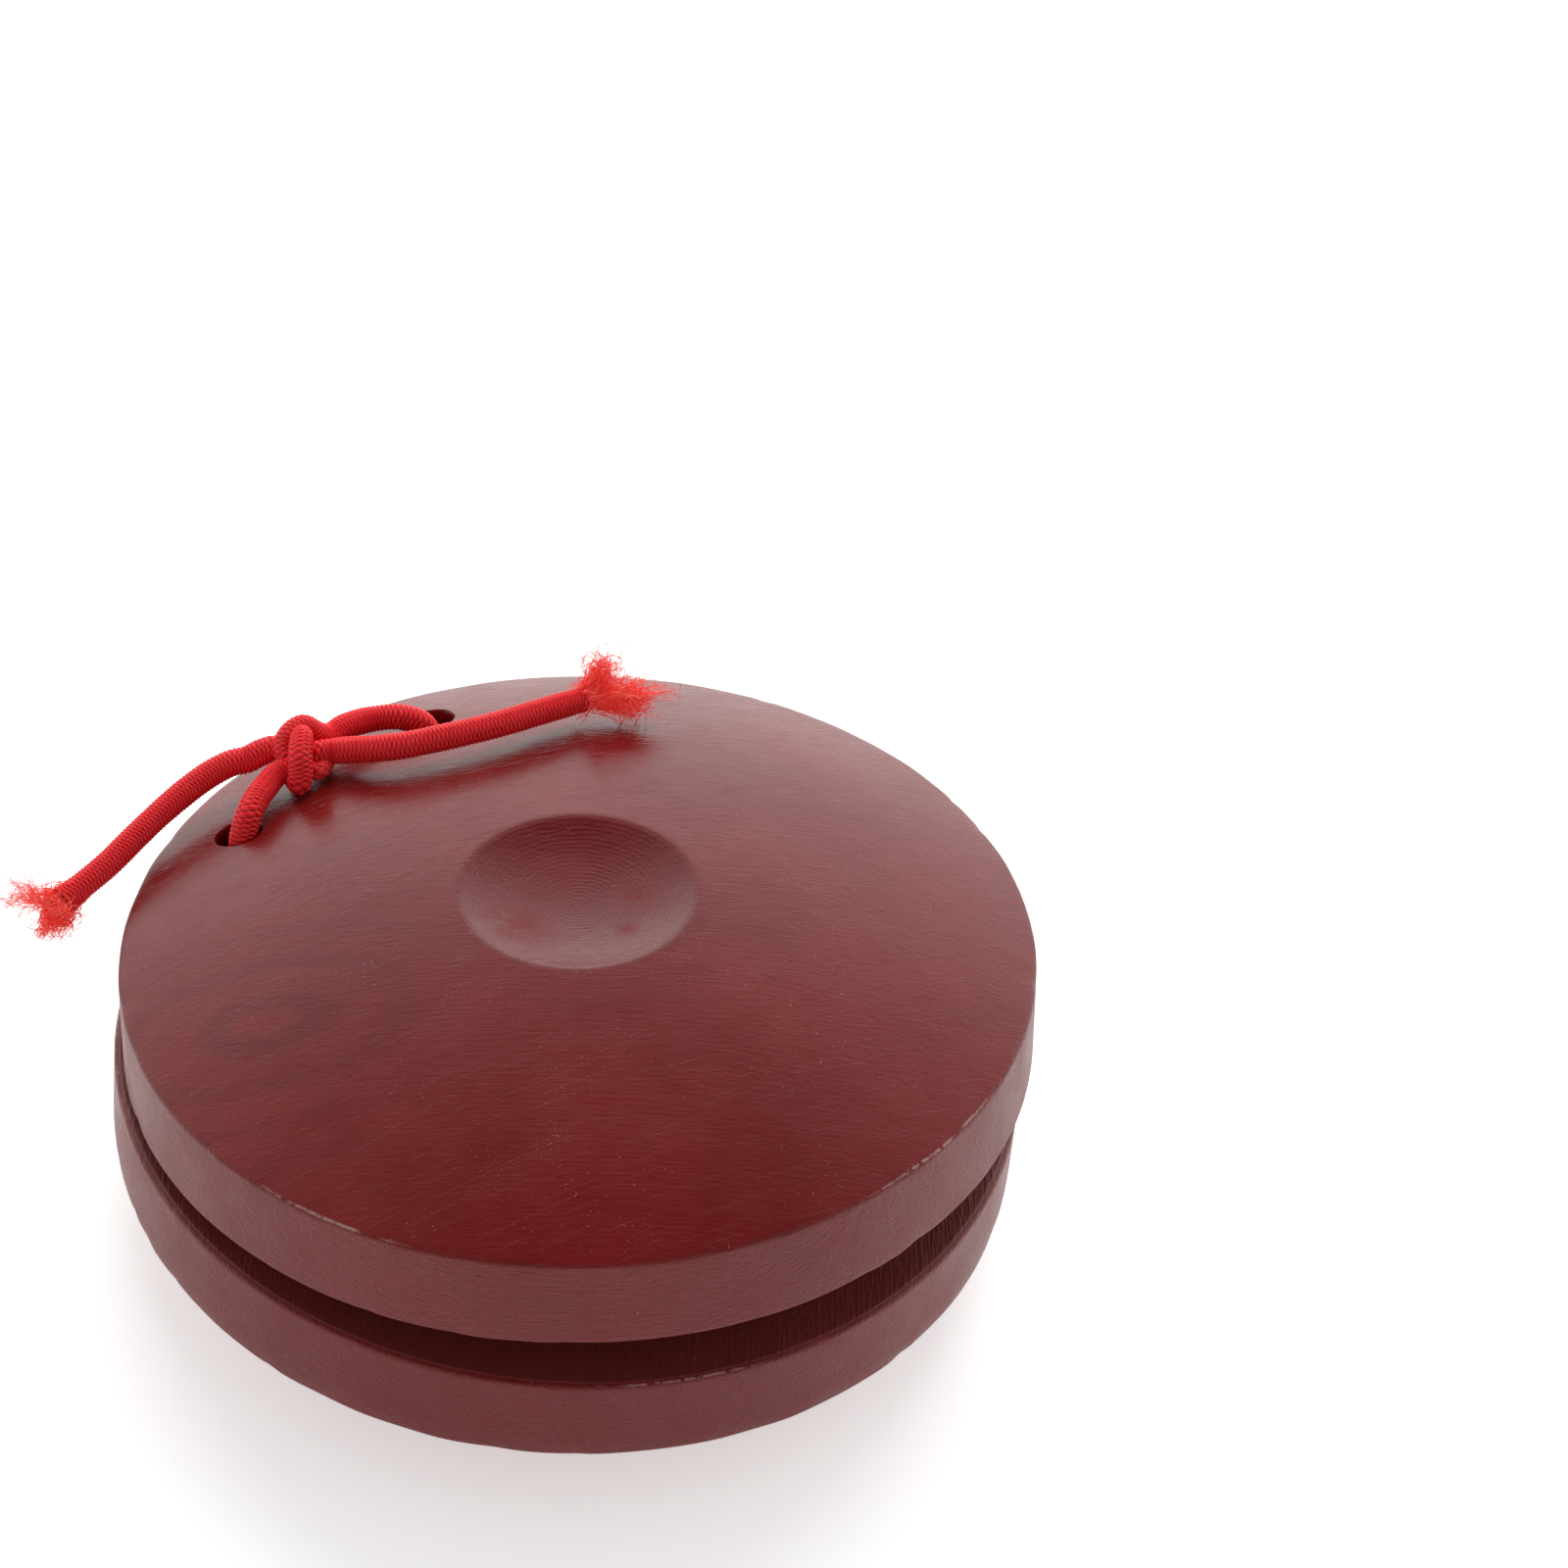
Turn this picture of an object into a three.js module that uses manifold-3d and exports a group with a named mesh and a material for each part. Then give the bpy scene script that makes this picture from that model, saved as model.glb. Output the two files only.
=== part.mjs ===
// Castanets: two turned wooden shells, tied face to face by one elastic cord and held a little open by it.
//
// Millimetres, +Z up. The lower shell stands on the flat ring around its finger dimple, and its axis is
// the Z axis. +Y points to the cord side, and X runs along the ridges that the shells rock on.

import * as THREE from 'three';
import { mergeVertices } from 'three/addons/utils/BufferGeometryUtils.js';
import Module from 'manifold-3d';

const wasm = await Module();
wasm.setup();

// ---- Shells: both are turned to one pattern ----
const discRadius = 30;
const bandHeight = 6.9;       // straight side, between the rim and the foot of the dome
const domeHeight = 5.3;       // from the top of the side to the ring around the dimple
const edgeRadius = 0.5;       // rounding along both edges of the side
const ringWidth = 0.8;        // flat ring around the dimple
const dimpleRadius = 7.6;
const dimpleDepth = 1.4;
const rimWidth = 9;           // wood left around the sound hollow in the inner face
const hollowDepth = 5.5;

// ---- How the shells meet ----
const ridgeInset = 8.4;       // from a shell's edge to the ridge where its rim starts to slope away
const bevelAngle = THREE.MathUtils.degToRad(2.7);
const openAngle = 2 * bevelAngle;   // at rest both slopes lie flat on each other
const rimGap = 0.2;           // clearance that the two rims keep
const upperSetback = 0.9;     // the upper shell sits this far forward, by the cord's play in its holes

// ---- Cord and its holes ----
const cordDiameter = 1.75;
const cordClearance = 0.625;  // play around the cord in its holes
const holeInset = 5.1;        // from a shell's edge to a hole's centre
const holeSpacing = 17.52;    // between the two holes' centres
const knotLength = 3.8;
const knotRadius = 1.5;
const frayLength = 3.4;
const frayRadius = 1.5;

// ---- Fineness ----
const shellSegments = 60;
const holeSegments = 20;
const cordSides = 8;

// ---- Worked out from the sizes above ----
const rimHeight = domeHeight + bandHeight;
const hollowRadius = discRadius - rimWidth;
const ridgeOffset = discRadius - ridgeInset;
const holeRadius = cordDiameter / 2 + cordClearance;
const holeOffset = Math.sqrt((discRadius - holeInset) ** 2 - (holeSpacing / 2) ** 2);

// The cord's route, chosen point by point. It starts under the knot's left side, and each list is one
// stretch of the same cord.
const lowerLoopRoute = [
  [-8.76, 22.95, 10.9], [-8.76, 23.1, 8.5], [-8.75, 23.3, 6.0], [-8.7, 23.3, 4.2],
  [-8.4, 23.3, 2.9], [-7.5, 23.3, 2.15], [-6.0, 23.3, 2.0], [-3.0, 23.3, 1.85], [0.0, 23.3, 1.8],
  [3.0, 23.3, 1.85], [6.0, 23.3, 2.0], [7.5, 23.3, 2.15], [8.4, 23.3, 2.9],
  [8.7, 23.3, 4.2], [8.75, 23.3, 6.0], [8.76, 23.1, 8.5], [8.76, 22.95, 10.9],
];
const middleLeftRoute = [[-8.76, 22.9, 11.2], [-8.76, 22.85, 12.2], [-8.76, 22.8, 13.2]];
const middleRightRoute = [[8.76, 22.9, 11.2], [8.76, 22.85, 12.2], [8.76, 22.8, 13.2]];
const upperLeftRoute = [
  [-8.76, 22.75, 13.5], [-8.76, 22.85, 16.0], [-8.7, 22.95, 19.0], [-8.5, 23.0, 20.9],
  [-7.8, 23.25, 22.05], [-6.6, 23.85, 22.25], [-5.4, 24.35, 22.15], [-3.9, 24.8, 22.2],
];
const upperRightRoute = [
  [8.76, 22.75, 13.5], [8.76, 22.85, 16.0], [8.7, 22.95, 19.0], [8.5, 22.95, 20.9],
  [7.8, 23.2, 22.05], [6.6, 23.95, 22.15], [4.9, 25.0, 22.0], [2.6, 25.4, 22.15], [0.6, 25.25, 22.45],
];
const leftTailRoute = [
  [-3.4, 26.45, 22.15], [-4.3, 27.2, 22.05], [-5.4, 27.75, 21.95], [-6.8, 28.15, 21.6], [-8.5, 28.3, 21.2],
  [-11.0, 28.2, 20.7], [-13.65, 27.95, 20.1], [-16.4, 27.6, 19.5], [-18.7, 27.5, 19.05],
  [-20.4, 27.5, 18.65],
];
const rightTailRoute = [
  [-0.1, 23.35, 22.95], [0.4, 22.25, 23.55], [1.3, 20.8, 24.15], [2.55, 19.5, 24.6], [5.3, 17.9, 24.95],
  [8.45, 16.6, 25.05], [12.05, 15.75, 24.8], [14.9, 15.15, 24.5],
];
const knotCentre = [-1.7, 25.1, 22.35];
const knotDirection = [0.86, -0.5, 0.08];
const leftFrayStart = [-20.7, 27.5, 18.6];
const leftFrayDirection = [-0.98, 0.05, -0.16];
const rightFrayStart = [15.3, 14.85, 24.6];
const rightFrayDirection = [0.8, -0.56, 0.2];

// ---- Colours ----
const wood = () => new THREE.MeshStandardMaterial({ color: 0x6b1f1f, roughness: 0.3, metalness: 0 });
const elastic = () => new THREE.MeshStandardMaterial({ color: 0xc81e28, roughness: 0.85, metalness: 0 });

const vector = ([x, y, z]) => new THREE.Vector3(x, y, z);

// ---- Solids and booleans ----

// A closed geometry with shared corners and no collapsed triangles, as its own positions and indices.
function welded(geometry) {
  const bare = geometry.clone();
  bare.deleteAttribute('normal');
  bare.deleteAttribute('uv');
  const merged = mergeVertices(bare, 1e-5);
  const old = merged.index.array;
  const kept = [];
  for (let i = 0; i < old.length; i += 3) {
    const [a, b, c] = [old[i], old[i + 1], old[i + 2]];
    if (a !== b && b !== c && c !== a) kept.push(a, b, c);
  }
  merged.setIndex(kept);
  return merged;
}

function toSolid(geometry) {
  const mesh = welded(geometry);
  const vertProperties = new Float32Array(mesh.attributes.position.array);
  const triVerts = new Uint32Array(mesh.index.array);
  return new wasm.Manifold(new wasm.Mesh({ numProp: 3, vertProperties, triVerts }));
}

function toGeometry(solid) {
  const { vertProperties, triVerts } = solid.getMesh();
  const geometry = new THREE.BufferGeometry();
  geometry.setAttribute('position', new THREE.BufferAttribute(vertProperties, 3));
  geometry.setIndex(new THREE.BufferAttribute(triVerts, 1));
  geometry.computeVertexNormals();
  return geometry;
}

// ---- Shell ----

// Points along an arc in the profile plane.
function arc(centreR, centreZ, radius, fromDegrees, toDegrees, steps) {
  const points = [];
  for (let i = 0; i <= steps; i += 1) {
    const angle = THREE.MathUtils.degToRad(fromDegrees + (toDegrees - fromDegrees) * i / steps);
    points.push([centreR + radius * Math.cos(angle), centreZ + radius * Math.sin(angle)]);
  }
  return points;
}

// Height along a sphere that is at level 0 at one radius and has risen by height at a smaller one.
function sphereRise(outerRadius, innerRadius, height) {
  const below = (outerRadius ** 2 - innerRadius ** 2 - height ** 2) / (2 * height);
  const sphere = Math.hypot(outerRadius, below);
  return (radius) => Math.sqrt(sphere ** 2 - radius ** 2) - below;
}

// Half section of a shell, from the hollow's deepest point round the outside to the dimple's deepest
// point. The rim lies at z = 0 and the dome points up.
function shellProfile() {
  const points = [];
  const hollowSteps = 8;
  for (let i = 0; i <= hollowSteps; i += 1) {
    const angle = (Math.PI / 2) * (i / hollowSteps);
    points.push([hollowRadius * Math.sin(angle), hollowDepth * Math.cos(angle)]);
  }
  const side = discRadius - edgeRadius;
  points.push(...arc(side, edgeRadius, edgeRadius, -90, 0, 2));
  points.push(...arc(side, bandHeight - edgeRadius, edgeRadius, 0, 70, 2));
  const domeTop = dimpleRadius + ringWidth;
  const domeFoot = points.at(-1);
  const domeRise = sphereRise(domeFoot[0], domeTop, rimHeight - domeFoot[1]);
  const domeSteps = 7;
  for (let i = 1; i <= domeSteps; i += 1) {
    const radius = domeFoot[0] + (domeTop - domeFoot[0]) * i / domeSteps;
    points.push([radius, domeFoot[1] + domeRise(radius)]);
  }
  const dimpleRise = sphereRise(dimpleRadius, 0, dimpleDepth);
  const dimpleSteps = 4;
  for (let i = 0; i <= dimpleSteps; i += 1) {
    const radius = dimpleRadius * (1 - i / dimpleSteps);
    points.push([radius, rimHeight - dimpleRise(radius)]);
  }
  points[0][0] = 0;
  points.at(-1)[0] = 0;
  return points.map(([radius, z]) => new THREE.Vector2(radius, z));
}

// The wedge that a shell's rim loses behind its ridge, so that the rim slopes away towards the cord side.
function bevelWedge() {
  const reach = 2 * discRadius;
  const outline = new THREE.Shape();
  outline.moveTo(ridgeOffset, 0);
  outline.lineTo(ridgeOffset, -reach);
  outline.lineTo(ridgeOffset + reach, -reach);
  outline.lineTo(ridgeOffset + reach, reach * Math.tan(bevelAngle));
  outline.closePath();
  const wedge = new THREE.ExtrudeGeometry(outline, { depth: 2 * reach, bevelEnabled: false });
  wedge.translate(0, 0, -reach);
  // The outline's first axis becomes Y and its second becomes Z.
  wedge.applyMatrix4(new THREE.Matrix4().makeBasis(
    new THREE.Vector3(0, 1, 0), new THREE.Vector3(0, 0, 1), new THREE.Vector3(1, 0, 0),
  ));
  return wedge;
}

function cordHole(side) {
  const hole = new THREE.CylinderGeometry(holeRadius, holeRadius, 4 * rimHeight, holeSegments);
  hole.rotateX(Math.PI / 2);
  hole.translate(side * holeSpacing / 2, holeOffset, 0);
  return hole;
}

function shellGeometry() {
  const turned = new THREE.LatheGeometry(shellProfile(), shellSegments);
  turned.rotateX(Math.PI / 2);
  let solid = toSolid(turned);
  solid = solid.subtract(toSolid(bevelWedge()));
  for (const side of [-1, 1]) solid = solid.subtract(toSolid(cordHole(side)));
  return toGeometry(solid);
}

// ---- Cord ----

function cordTube(route, steps) {
  const radius = cordDiameter / 2;
  const section = new THREE.Shape();
  for (let i = 0; i < cordSides; i += 1) {
    const angle = 2 * Math.PI * i / cordSides;
    const [x, y] = [radius * Math.cos(angle), radius * Math.sin(angle)];
    if (i === 0) section.moveTo(x, y);
    else section.lineTo(x, y);
  }
  section.closePath();
  const extrudePath = new THREE.CatmullRomCurve3(route.map(vector), false, 'centripetal');
  return new THREE.ExtrudeGeometry(section, { steps, extrudePath, bevelEnabled: false });
}

// The knot's outer shape: a barrel that is round across the cords' direction.
function knotGeometry() {
  const steps = 8;
  const profile = [];
  for (let i = 0; i <= steps; i += 1) {
    const angle = Math.PI * i / steps;
    const radius = (i === 0 || i === steps) ? 0 : knotRadius * Math.sin(angle) ** 0.7;
    profile.push(new THREE.Vector2(radius, -knotLength / 2 * Math.cos(angle)));
  }
  return new THREE.LatheGeometry(profile, 16);
}

// A frayed end: it flares from the cord's own thickness to a blunt tuft.
function frayGeometry() {
  const start = cordDiameter / 2;
  const profile = [
    [0, 0], [start, 0], [frayRadius * 0.8, frayLength * 0.4], [frayRadius, frayLength * 0.7],
    [frayRadius * 0.7, frayLength * 0.95], [0, frayLength],
  ];
  return new THREE.LatheGeometry(profile.map(([x, y]) => new THREE.Vector2(x, y)), 12);
}

// Turns a piece that was made along +Y so that it points along a direction.
function aim(mesh, direction) {
  mesh.quaternion.setFromUnitVectors(new THREE.Vector3(0, 1, 0), vector(direction).normalize());
}

// ---- Assembly ----

const castanets = new THREE.Group();

function add(parent, name, geometry, material) {
  const mesh = new THREE.Mesh(geometry, material);
  mesh.name = name;
  parent.add(mesh);
  return mesh;
}

const lowerShell = add(castanets, 'lower_shell', shellGeometry(), wood());
lowerShell.rotation.y = Math.PI;
lowerShell.position.z = rimHeight;

// The upper shell turns about its own ridge, which rests on the lower shell's rim.
const rocker = new THREE.Group();
rocker.position.set(0, ridgeOffset - upperSetback, rimHeight + rimGap);
rocker.rotation.x = -openAngle;
castanets.add(rocker);
const upperShell = add(rocker, 'upper_shell', shellGeometry(), wood());
upperShell.position.y = -ridgeOffset;

const stretches = [
  ['cord_lower_loop', lowerLoopRoute, 24],
  ['cord_middle_left', middleLeftRoute, 1],
  ['cord_middle_right', middleRightRoute, 1],
  ['cord_upper_left', upperLeftRoute, 10],
  ['cord_upper_right', upperRightRoute, 12],
  ['cord_tail_left', leftTailRoute, 9],
  ['cord_tail_right', rightTailRoute, 9],
];
for (const [name, route, steps] of stretches) add(castanets, name, cordTube(route, steps), elastic());

const knot = add(castanets, 'cord_knot', knotGeometry(), elastic());
knot.position.copy(vector(knotCentre));
aim(knot, knotDirection);

const frays = [
  ['cord_fray_left', leftFrayStart, leftFrayDirection],
  ['cord_fray_right', rightFrayStart, rightFrayDirection],
];
for (const [name, start, direction] of frays) {
  const fray = add(castanets, name, frayGeometry(), elastic());
  fray.position.copy(vector(start));
  aim(fray, direction);
}

export default castanets;
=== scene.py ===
import math

import bpy
import numpy as np
from mathutils import Matrix, Vector


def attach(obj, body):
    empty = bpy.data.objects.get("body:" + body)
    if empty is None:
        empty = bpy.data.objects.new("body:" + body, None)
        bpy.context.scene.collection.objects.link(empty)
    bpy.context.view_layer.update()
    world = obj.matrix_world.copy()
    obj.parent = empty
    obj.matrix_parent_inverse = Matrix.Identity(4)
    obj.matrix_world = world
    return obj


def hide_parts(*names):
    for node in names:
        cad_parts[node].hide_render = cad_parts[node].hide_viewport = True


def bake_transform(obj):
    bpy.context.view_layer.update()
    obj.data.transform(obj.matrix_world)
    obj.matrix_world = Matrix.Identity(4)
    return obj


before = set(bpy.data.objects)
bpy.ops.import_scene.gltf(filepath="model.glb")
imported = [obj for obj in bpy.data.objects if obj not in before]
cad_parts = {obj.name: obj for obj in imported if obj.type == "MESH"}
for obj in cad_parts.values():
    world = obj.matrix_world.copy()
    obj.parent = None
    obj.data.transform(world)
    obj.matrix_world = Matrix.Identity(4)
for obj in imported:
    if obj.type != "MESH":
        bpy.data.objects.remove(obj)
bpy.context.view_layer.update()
scene = bpy.context.scene

MM = 0.001

# Shell sizes in millimetres, in the shell's own frame: rim plane at z = 0, dome up.
RADIUS = 30.0
BAND = 6.9
EDGE = 0.5
RIM_HEIGHT = 12.2
DIMPLE_RADIUS = 7.6
DIMPLE_DEPTH = 1.4
HOLLOW_RADIUS = 21.0
HOLLOW_DEPTH = 5.5
RIDGE = 21.6
BEVEL = math.radians(2.7)
UPPER_RIDGE = (0, 20.7, 12.4)
HOLE_X = 8.76
HOLE_Y = 23.31
HOLE_RADIUS = 1.5
CORD_RADIUS = 0.875
BRAID_PITCH = 0.28
BRAID_PAIRS = 5


# ---- Camera, light and floor ----

def add_camera():
    data = bpy.data.cameras.new("camera")
    camera = bpy.data.objects.new("camera", data)
    scene.collection.objects.link(camera)
    place = Vector((-0.231192, -0.214387, 0.324139))
    aim = Vector((0.029628, 0.009152, 0.0122))
    roll = math.radians(6.081)
    forward = (aim - place).normalized()
    side = forward.cross(Vector((0, 0, 1))).normalized()
    up = side.cross(forward)
    right = side * math.cos(roll) + up * math.sin(roll)
    top = up * math.cos(roll) - side * math.sin(roll)
    turn = Matrix((right, top, -forward)).transposed()
    camera.matrix_world = Matrix.Translation(place) @ turn.to_4x4()
    data.lens = 153.265
    data.sensor_width = 36
    data.clip_start = 0.01
    data.clip_end = 20
    scene.camera = camera


def add_world():
    """A soft white surround: bright near the horizon, darker overhead, brighter behind the object."""
    world = bpy.data.worlds.new("surround")
    scene.world = world
    world.use_nodes = True
    nodes, links = world.node_tree.nodes, world.node_tree.links
    nodes.clear()
    coords = nodes.new("ShaderNodeTexCoord")
    split = nodes.new("ShaderNodeSeparateXYZ")
    ramp = nodes.new("ShaderNodeValToRGB")
    stops = ramp.color_ramp
    stops.interpolation = "B_SPLINE"
    stops.elements[0].position = 0.0
    stops.elements[0].color = (1.25, 1.25, 1.26, 1)
    stops.elements[1].position = 1.0
    stops.elements[1].color = (0.05, 0.05, 0.05, 1)
    for place, level in ((0.25, 1.15), (0.55, 0.85), (0.75, 0.55), (0.9, 0.25)):
        stops.elements.new(place).color = (level, level, level, 1)
    background = nodes.new("ShaderNodeBackground")
    output = nodes.new("ShaderNodeOutputWorld")
    behind = nodes.new("ShaderNodeVectorMath")
    behind.operation = "DOT_PRODUCT"
    behind.inputs[1].default_value = (0.76, 0.65, 0)
    level = nodes.new("ShaderNodeMapRange")
    level.inputs["From Min"].default_value = -0.8
    level.inputs["From Max"].default_value = 0.8
    level.inputs["To Min"].default_value = 0.3
    level.inputs["To Max"].default_value = 1.75
    links.new(coords.outputs["Generated"], split.inputs[0])
    links.new(coords.outputs["Generated"], behind.inputs[0])
    links.new(behind.outputs["Value"], level.inputs["Value"])
    links.new(level.outputs["Result"], background.inputs["Strength"])
    links.new(split.outputs["Z"], ramp.inputs["Fac"])
    links.new(ramp.outputs["Color"], background.inputs["Color"])
    links.new(background.outputs["Background"], output.inputs["Surface"])


def add_area(name, place, size, power):
    data = bpy.data.lights.new(name, "AREA")
    data.shape = "DISK"
    data.size = size
    data.energy = power
    lamp = bpy.data.objects.new(name, data)
    scene.collection.objects.link(lamp)
    lamp.location = place
    lamp.rotation_euler = (-Vector(place)).to_track_quat("-Z", "Y").to_euler()
    lamp.visible_glossy = False


def add_lights():
    add_area("key", (-0.8, -0.5, 0.6), 0.7, 1.4)
    add_area("back", (0.72, 0.62, 1.0), 1.4, 15.0)


def add_floor():
    mesh = bpy.data.meshes.new("floor")
    reach = 6.0
    mesh.from_pydata(
        [(-reach, -reach, 0), (reach, -reach, 0), (reach, reach, 0), (-reach, reach, 0)], [], [(0, 1, 2, 3)]
    )
    floor = bpy.data.objects.new("floor", mesh)
    scene.collection.objects.link(floor)
    material = bpy.data.materials.new("floor")
    material.use_nodes = True
    shader = material.node_tree.nodes["Principled BSDF"]
    shader.inputs["Base Color"].default_value = (0.93, 0.93, 0.93, 1)
    shader.inputs["Roughness"].default_value = 0.9
    shader.inputs["Emission Color"].default_value = (1, 1, 1, 1)
    shader.inputs["Emission Strength"].default_value = 0.45
    shader.inputs["Specular IOR Level"].default_value = 0.1
    mesh.materials.append(material)


# ---- Node helpers ----

class Nodes:
    """Short calls for building one material's node tree."""

    def __init__(self, name):
        self.material = bpy.data.materials.new(name)
        self.material.use_nodes = True
        self.tree = self.material.node_tree
        self.shader = self.tree.nodes["Principled BSDF"]
        self.place = self.new("ShaderNodeTexCoord").outputs["Object"]

    def new(self, kind):
        return self.tree.nodes.new(kind)

    def link(self, source, socket):
        self.tree.links.new(source, socket)

    def stretch(self, scale, shift=(0, 0, 0), vector=None):
        node = self.new("ShaderNodeMapping")
        node.inputs["Scale"].default_value = scale
        node.inputs["Location"].default_value = shift
        self.link(vector or self.place, node.inputs["Vector"])
        return node.outputs["Vector"]

    def turned(self, angle):
        node = self.new("ShaderNodeMapping")
        node.inputs["Rotation"].default_value = (0, 0, angle)
        self.link(self.place, node.inputs["Vector"])
        return node.outputs["Vector"]

    def noise(self, scale, detail=2.0, rough=0.5, vector=None):
        node = self.new("ShaderNodeTexNoise")
        node.inputs["Scale"].default_value = scale
        node.inputs["Detail"].default_value = detail
        node.inputs["Roughness"].default_value = rough
        self.link(vector or self.place, node.inputs["Vector"])
        return node.outputs["Fac"]

    def ramp(self, value, low, high, start=0.0, end=1.0):
        node = self.new("ShaderNodeMapRange")
        node.interpolation_type = "SMOOTHSTEP"
        node.inputs["From Min"].default_value = low
        node.inputs["From Max"].default_value = high
        node.inputs["To Min"].default_value = start
        node.inputs["To Max"].default_value = end
        self.link(value, node.inputs["Value"])
        return node.outputs["Result"]

    def math(self, operation, a, b):
        node = self.new("ShaderNodeMath")
        node.operation = operation
        for socket, value in zip(node.inputs, (a, b)):
            if isinstance(value, (int, float)):
                socket.default_value = value
            else:
                self.link(value, socket)
        return node.outputs[0]

    def mix(self, factor, a, b):
        node = self.new("ShaderNodeMix")
        node.data_type = "RGBA"
        for socket, value in ((node.inputs[0], factor), (node.inputs[6], a), (node.inputs[7], b)):
            if isinstance(value, tuple):
                socket.default_value = (*value, 1)
            elif isinstance(value, (int, float)):
                socket.default_value = value
            else:
                self.link(value, socket)
        return node.outputs[2]

    def attribute(self, name):
        node = self.new("ShaderNodeAttribute")
        node.attribute_name = name
        return node.outputs["Fac"]

    def bump(self, height, distance, normal=None, strength=1.0):
        node = self.new("ShaderNodeBump")
        node.inputs["Strength"].default_value = strength
        node.inputs["Distance"].default_value = distance
        self.link(height, node.inputs["Height"])
        if normal is not None:
            self.link(normal, node.inputs["Normal"])
        return node.outputs["Normal"]


# ---- Materials ----

def wood_material():
    """Dark red lacquered hardwood: satin gloss on the dome, duller with open grain on the side."""
    n = Nodes("lacquered_wood")
    side = n.attribute("side")
    edge = n.attribute("edge")
    dish = n.attribute("dish")
    along = n.turned(math.radians(45))

    # Broad tone, and the faint nested arcs of one growth figure.
    colour = n.mix(n.ramp(n.noise(70, 3, 0.6), 0.3, 0.7), (0.128, 0.0052, 0.005), (0.158, 0.0085, 0.0078))
    wave = n.new("ShaderNodeTexWave")
    wave.wave_type = "RINGS"
    wave.rings_direction = "Z"
    wave.inputs["Scale"].default_value = 95
    wave.inputs["Distortion"].default_value = 3.5
    wave.inputs["Detail"].default_value = 2.0
    wave.inputs["Detail Scale"].default_value = 0.8
    n.link(n.stretch((0.5, 1.0, 1.0), (0.0099, 0.0099, 0), along), wave.inputs["Vector"])
    arcs = n.math("MULTIPLY", n.ramp(wave.outputs["Fac"], 0.4, 0.95), n.attribute("figure"))
    colour = n.mix(n.math("MULTIPLY", arcs, 0.32), colour, (0.06, 0.003, 0.003))

    # Open pores: short dark dashes that run with the grain.
    fibre = n.noise(1.0, 3, 0.65, n.stretch((420, 4300, 4300), (0, 0, 0), along))
    pores = n.ramp(fibre, 0.29, 0.37, 1.0, 0.0)
    dashes = n.math("MULTIPLY", pores, n.ramp(n.noise(140, 2), 0.42, 0.62, 0.25, 1.0))
    colour = n.mix(n.math("MULTIPLY", side, 0.4), colour, (0.145, 0.006, 0.005))
    colour = n.mix(n.math("MULTIPLY", dashes, 0.6), colour, (0.035, 0.003, 0.003))
    colour = n.mix(n.math("MULTIPLY", n.attribute("inner"), 0.6), colour, (0.15, 0.035, 0.03))

    # Painted shade darkening the finger dimple, rubbed patches in it, dust, and pale lines along the edges,
    # partly worn lacquer and partly a painted highlight.
    scuff = n.math("MULTIPLY", n.ramp(n.noise(620, 5, 0.75), 0.3, 0.55), n.attribute("rubbed"))
    # Painted shade: the recessed finger dimple is painted darker.
    colour = n.mix(n.math("MULTIPLY", dish, 0.3), colour, (0.07, 0.003, 0.003))
    colour = n.mix(n.math("MULTIPLY", scuff, 0.5), colour, (0.16, 0.008, 0.008))
    dust = n.math("MULTIPLY", n.ramp(n.noise(6500, 0), 0.77, 0.82), n.ramp(n.noise(160, 1), 0.42, 0.6))
    colour = n.mix(n.math("MULTIPLY", dust, 0.35), colour, (0.38, 0.2, 0.18))
    stretch = n.math("MULTIPLY", n.ramp(n.noise(300, 1), 0.32, 0.5), n.ramp(n.noise(2600, 2), 0.36, 0.52))
    # Pale lines along the edges: partly worn lacquer, partly a painted highlight where the edge fillet
    # catches the light.
    worn = n.math("MULTIPLY", n.ramp(edge, 0.4, 0.85), stretch)
    colour = n.mix(n.math("MULTIPLY", worn, 0.55), colour, (0.46, 0.3, 0.26))
    n.link(colour, n.shader.inputs["Base Color"])

    rough = n.math("ADD", n.ramp(n.noise(300, 3), 0.3, 0.75, 0.17, 0.27), n.math("MULTIPLY", side, 0.22))
    rough = n.math("ADD", rough, n.math("MULTIPLY", scuff, 0.35))
    n.link(rough, n.shader.inputs["Roughness"])

    lathe = n.new("ShaderNodeTexWave")
    lathe.wave_type = "RINGS"
    lathe.rings_direction = "Z"
    lathe.inputs["Scale"].default_value = 900
    lathe.inputs["Distortion"].default_value = 4.0
    lathe.inputs["Detail"].default_value = 3.0
    n.link(n.place, lathe.inputs["Vector"])
    peel = n.bump(n.noise(650, 2), 0.000025)
    peel = n.bump(n.math("MULTIPLY", lathe.outputs["Fac"], dish), 0.000008, peel)
    grain = n.math("MULTIPLY", fibre, n.math("ADD", n.math("MULTIPLY", side, 2.4), 0.45))
    relief = n.bump(grain, 0.00006, peel)
    hair = n.noise(1.0, 0, 0.5, n.stretch((150, 7000, 600), (0, 0, 0), n.turned(math.radians(20))))
    n.link(n.bump(n.ramp(hair, 0.72, 0.76), 0.000008, relief), n.shader.inputs["Normal"])
    n.shader.inputs["Specular IOR Level"].default_value = 0.33
    n.shader.inputs["Coat Weight"].default_value = 0.08
    n.shader.inputs["Coat Roughness"].default_value = 0.12
    return n.material


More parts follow.
